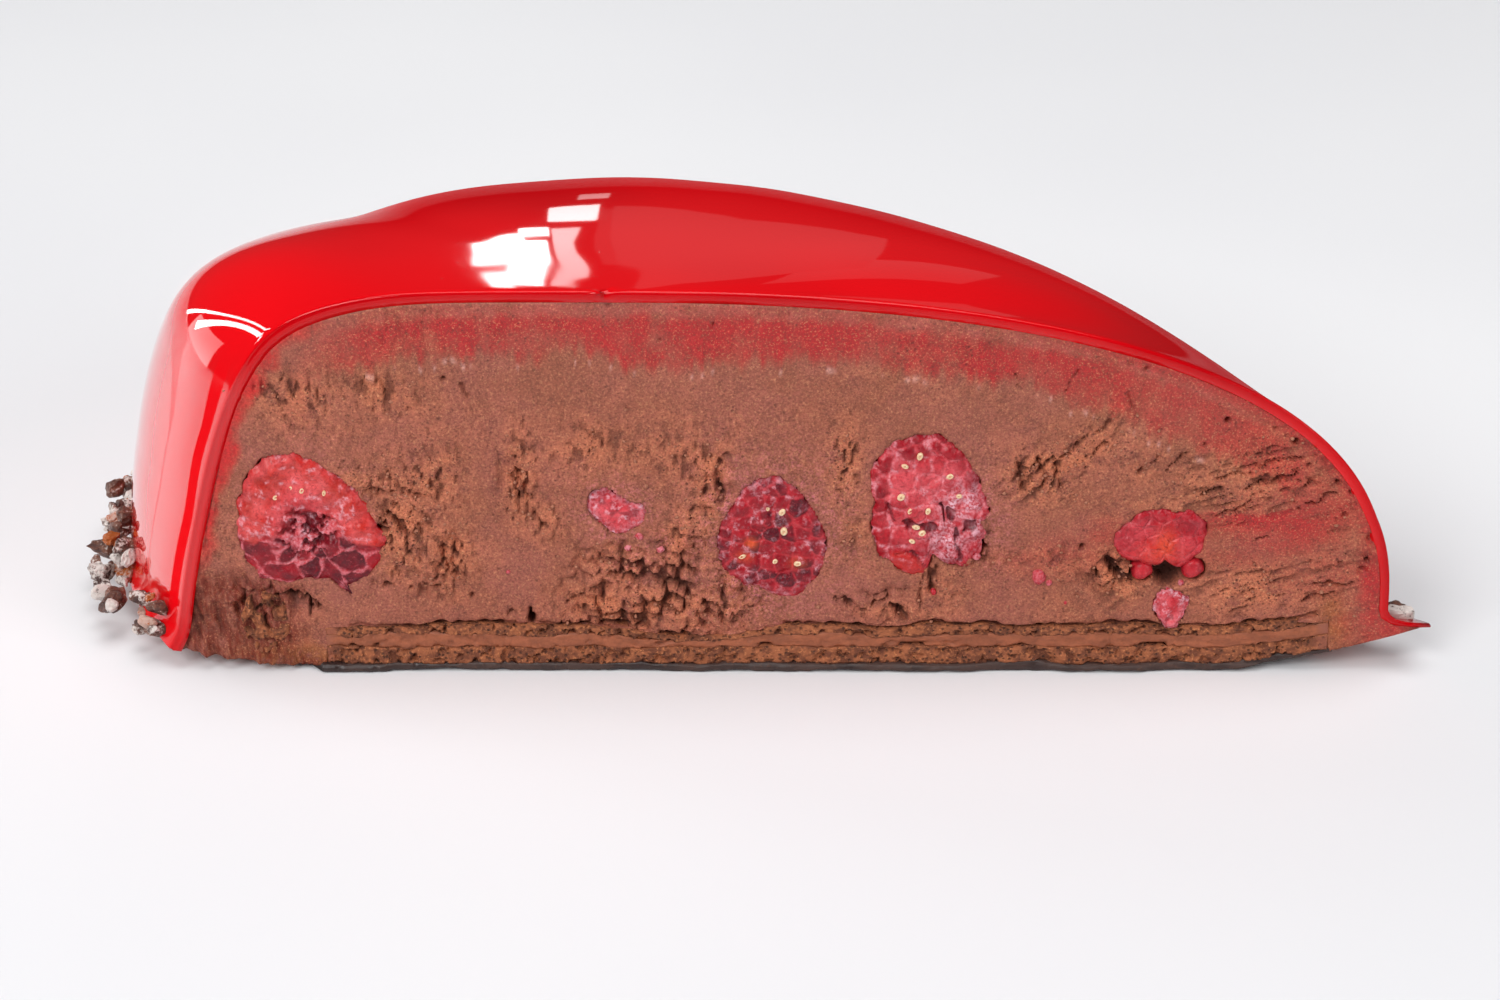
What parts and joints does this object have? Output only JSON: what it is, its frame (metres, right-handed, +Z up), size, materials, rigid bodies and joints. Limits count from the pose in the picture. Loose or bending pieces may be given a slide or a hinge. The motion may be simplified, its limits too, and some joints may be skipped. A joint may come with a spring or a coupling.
{
  "type": "entremet cake half",
  "caption": "Half of a heart-shaped chocolate mousse cake with a red mirror glaze, whole raspberries in the mousse, a thin sponge base and a foot of roasted cocoa nibs, cut from notch to point.",
  "frame": {"origin": "middle of the bottom of the whole piece's bounding box, on the plane that the cake stands on", "axes": "+X along the cut from the heart's notch to its point, +Y from the cut face into the cake, +Z up"},
  "size_m": [0.1994, 0.1034, 0.0595],
  "materials": {
    "glaze": "mirror gloss",
    "mousse": "matte, finely porous",
    "chocolate": "dull, slightly waxy",
    "sponge": "matte, open crumb",
    "ganache": "smooth, dull",
    "raspberry": "moist",
    "nibs": "dusted, rough"
  },
  "bodies": {
    "root": {"glaze": "glaze", "mousse": "mousse", "chocolate_base": "chocolate", "sponge_lower": "sponge", "ganache_band": "ganache", "sponge_upper": "sponge", "sponge_lump": "sponge", "raspberry_1": "raspberry", "raspberry_2": "raspberry", "raspberry_3": "raspberry", "raspberry_4": "raspberry", "raspberry_5": "raspberry", "raspberry_6": "raspberry"}
  },
  "joints": []
}
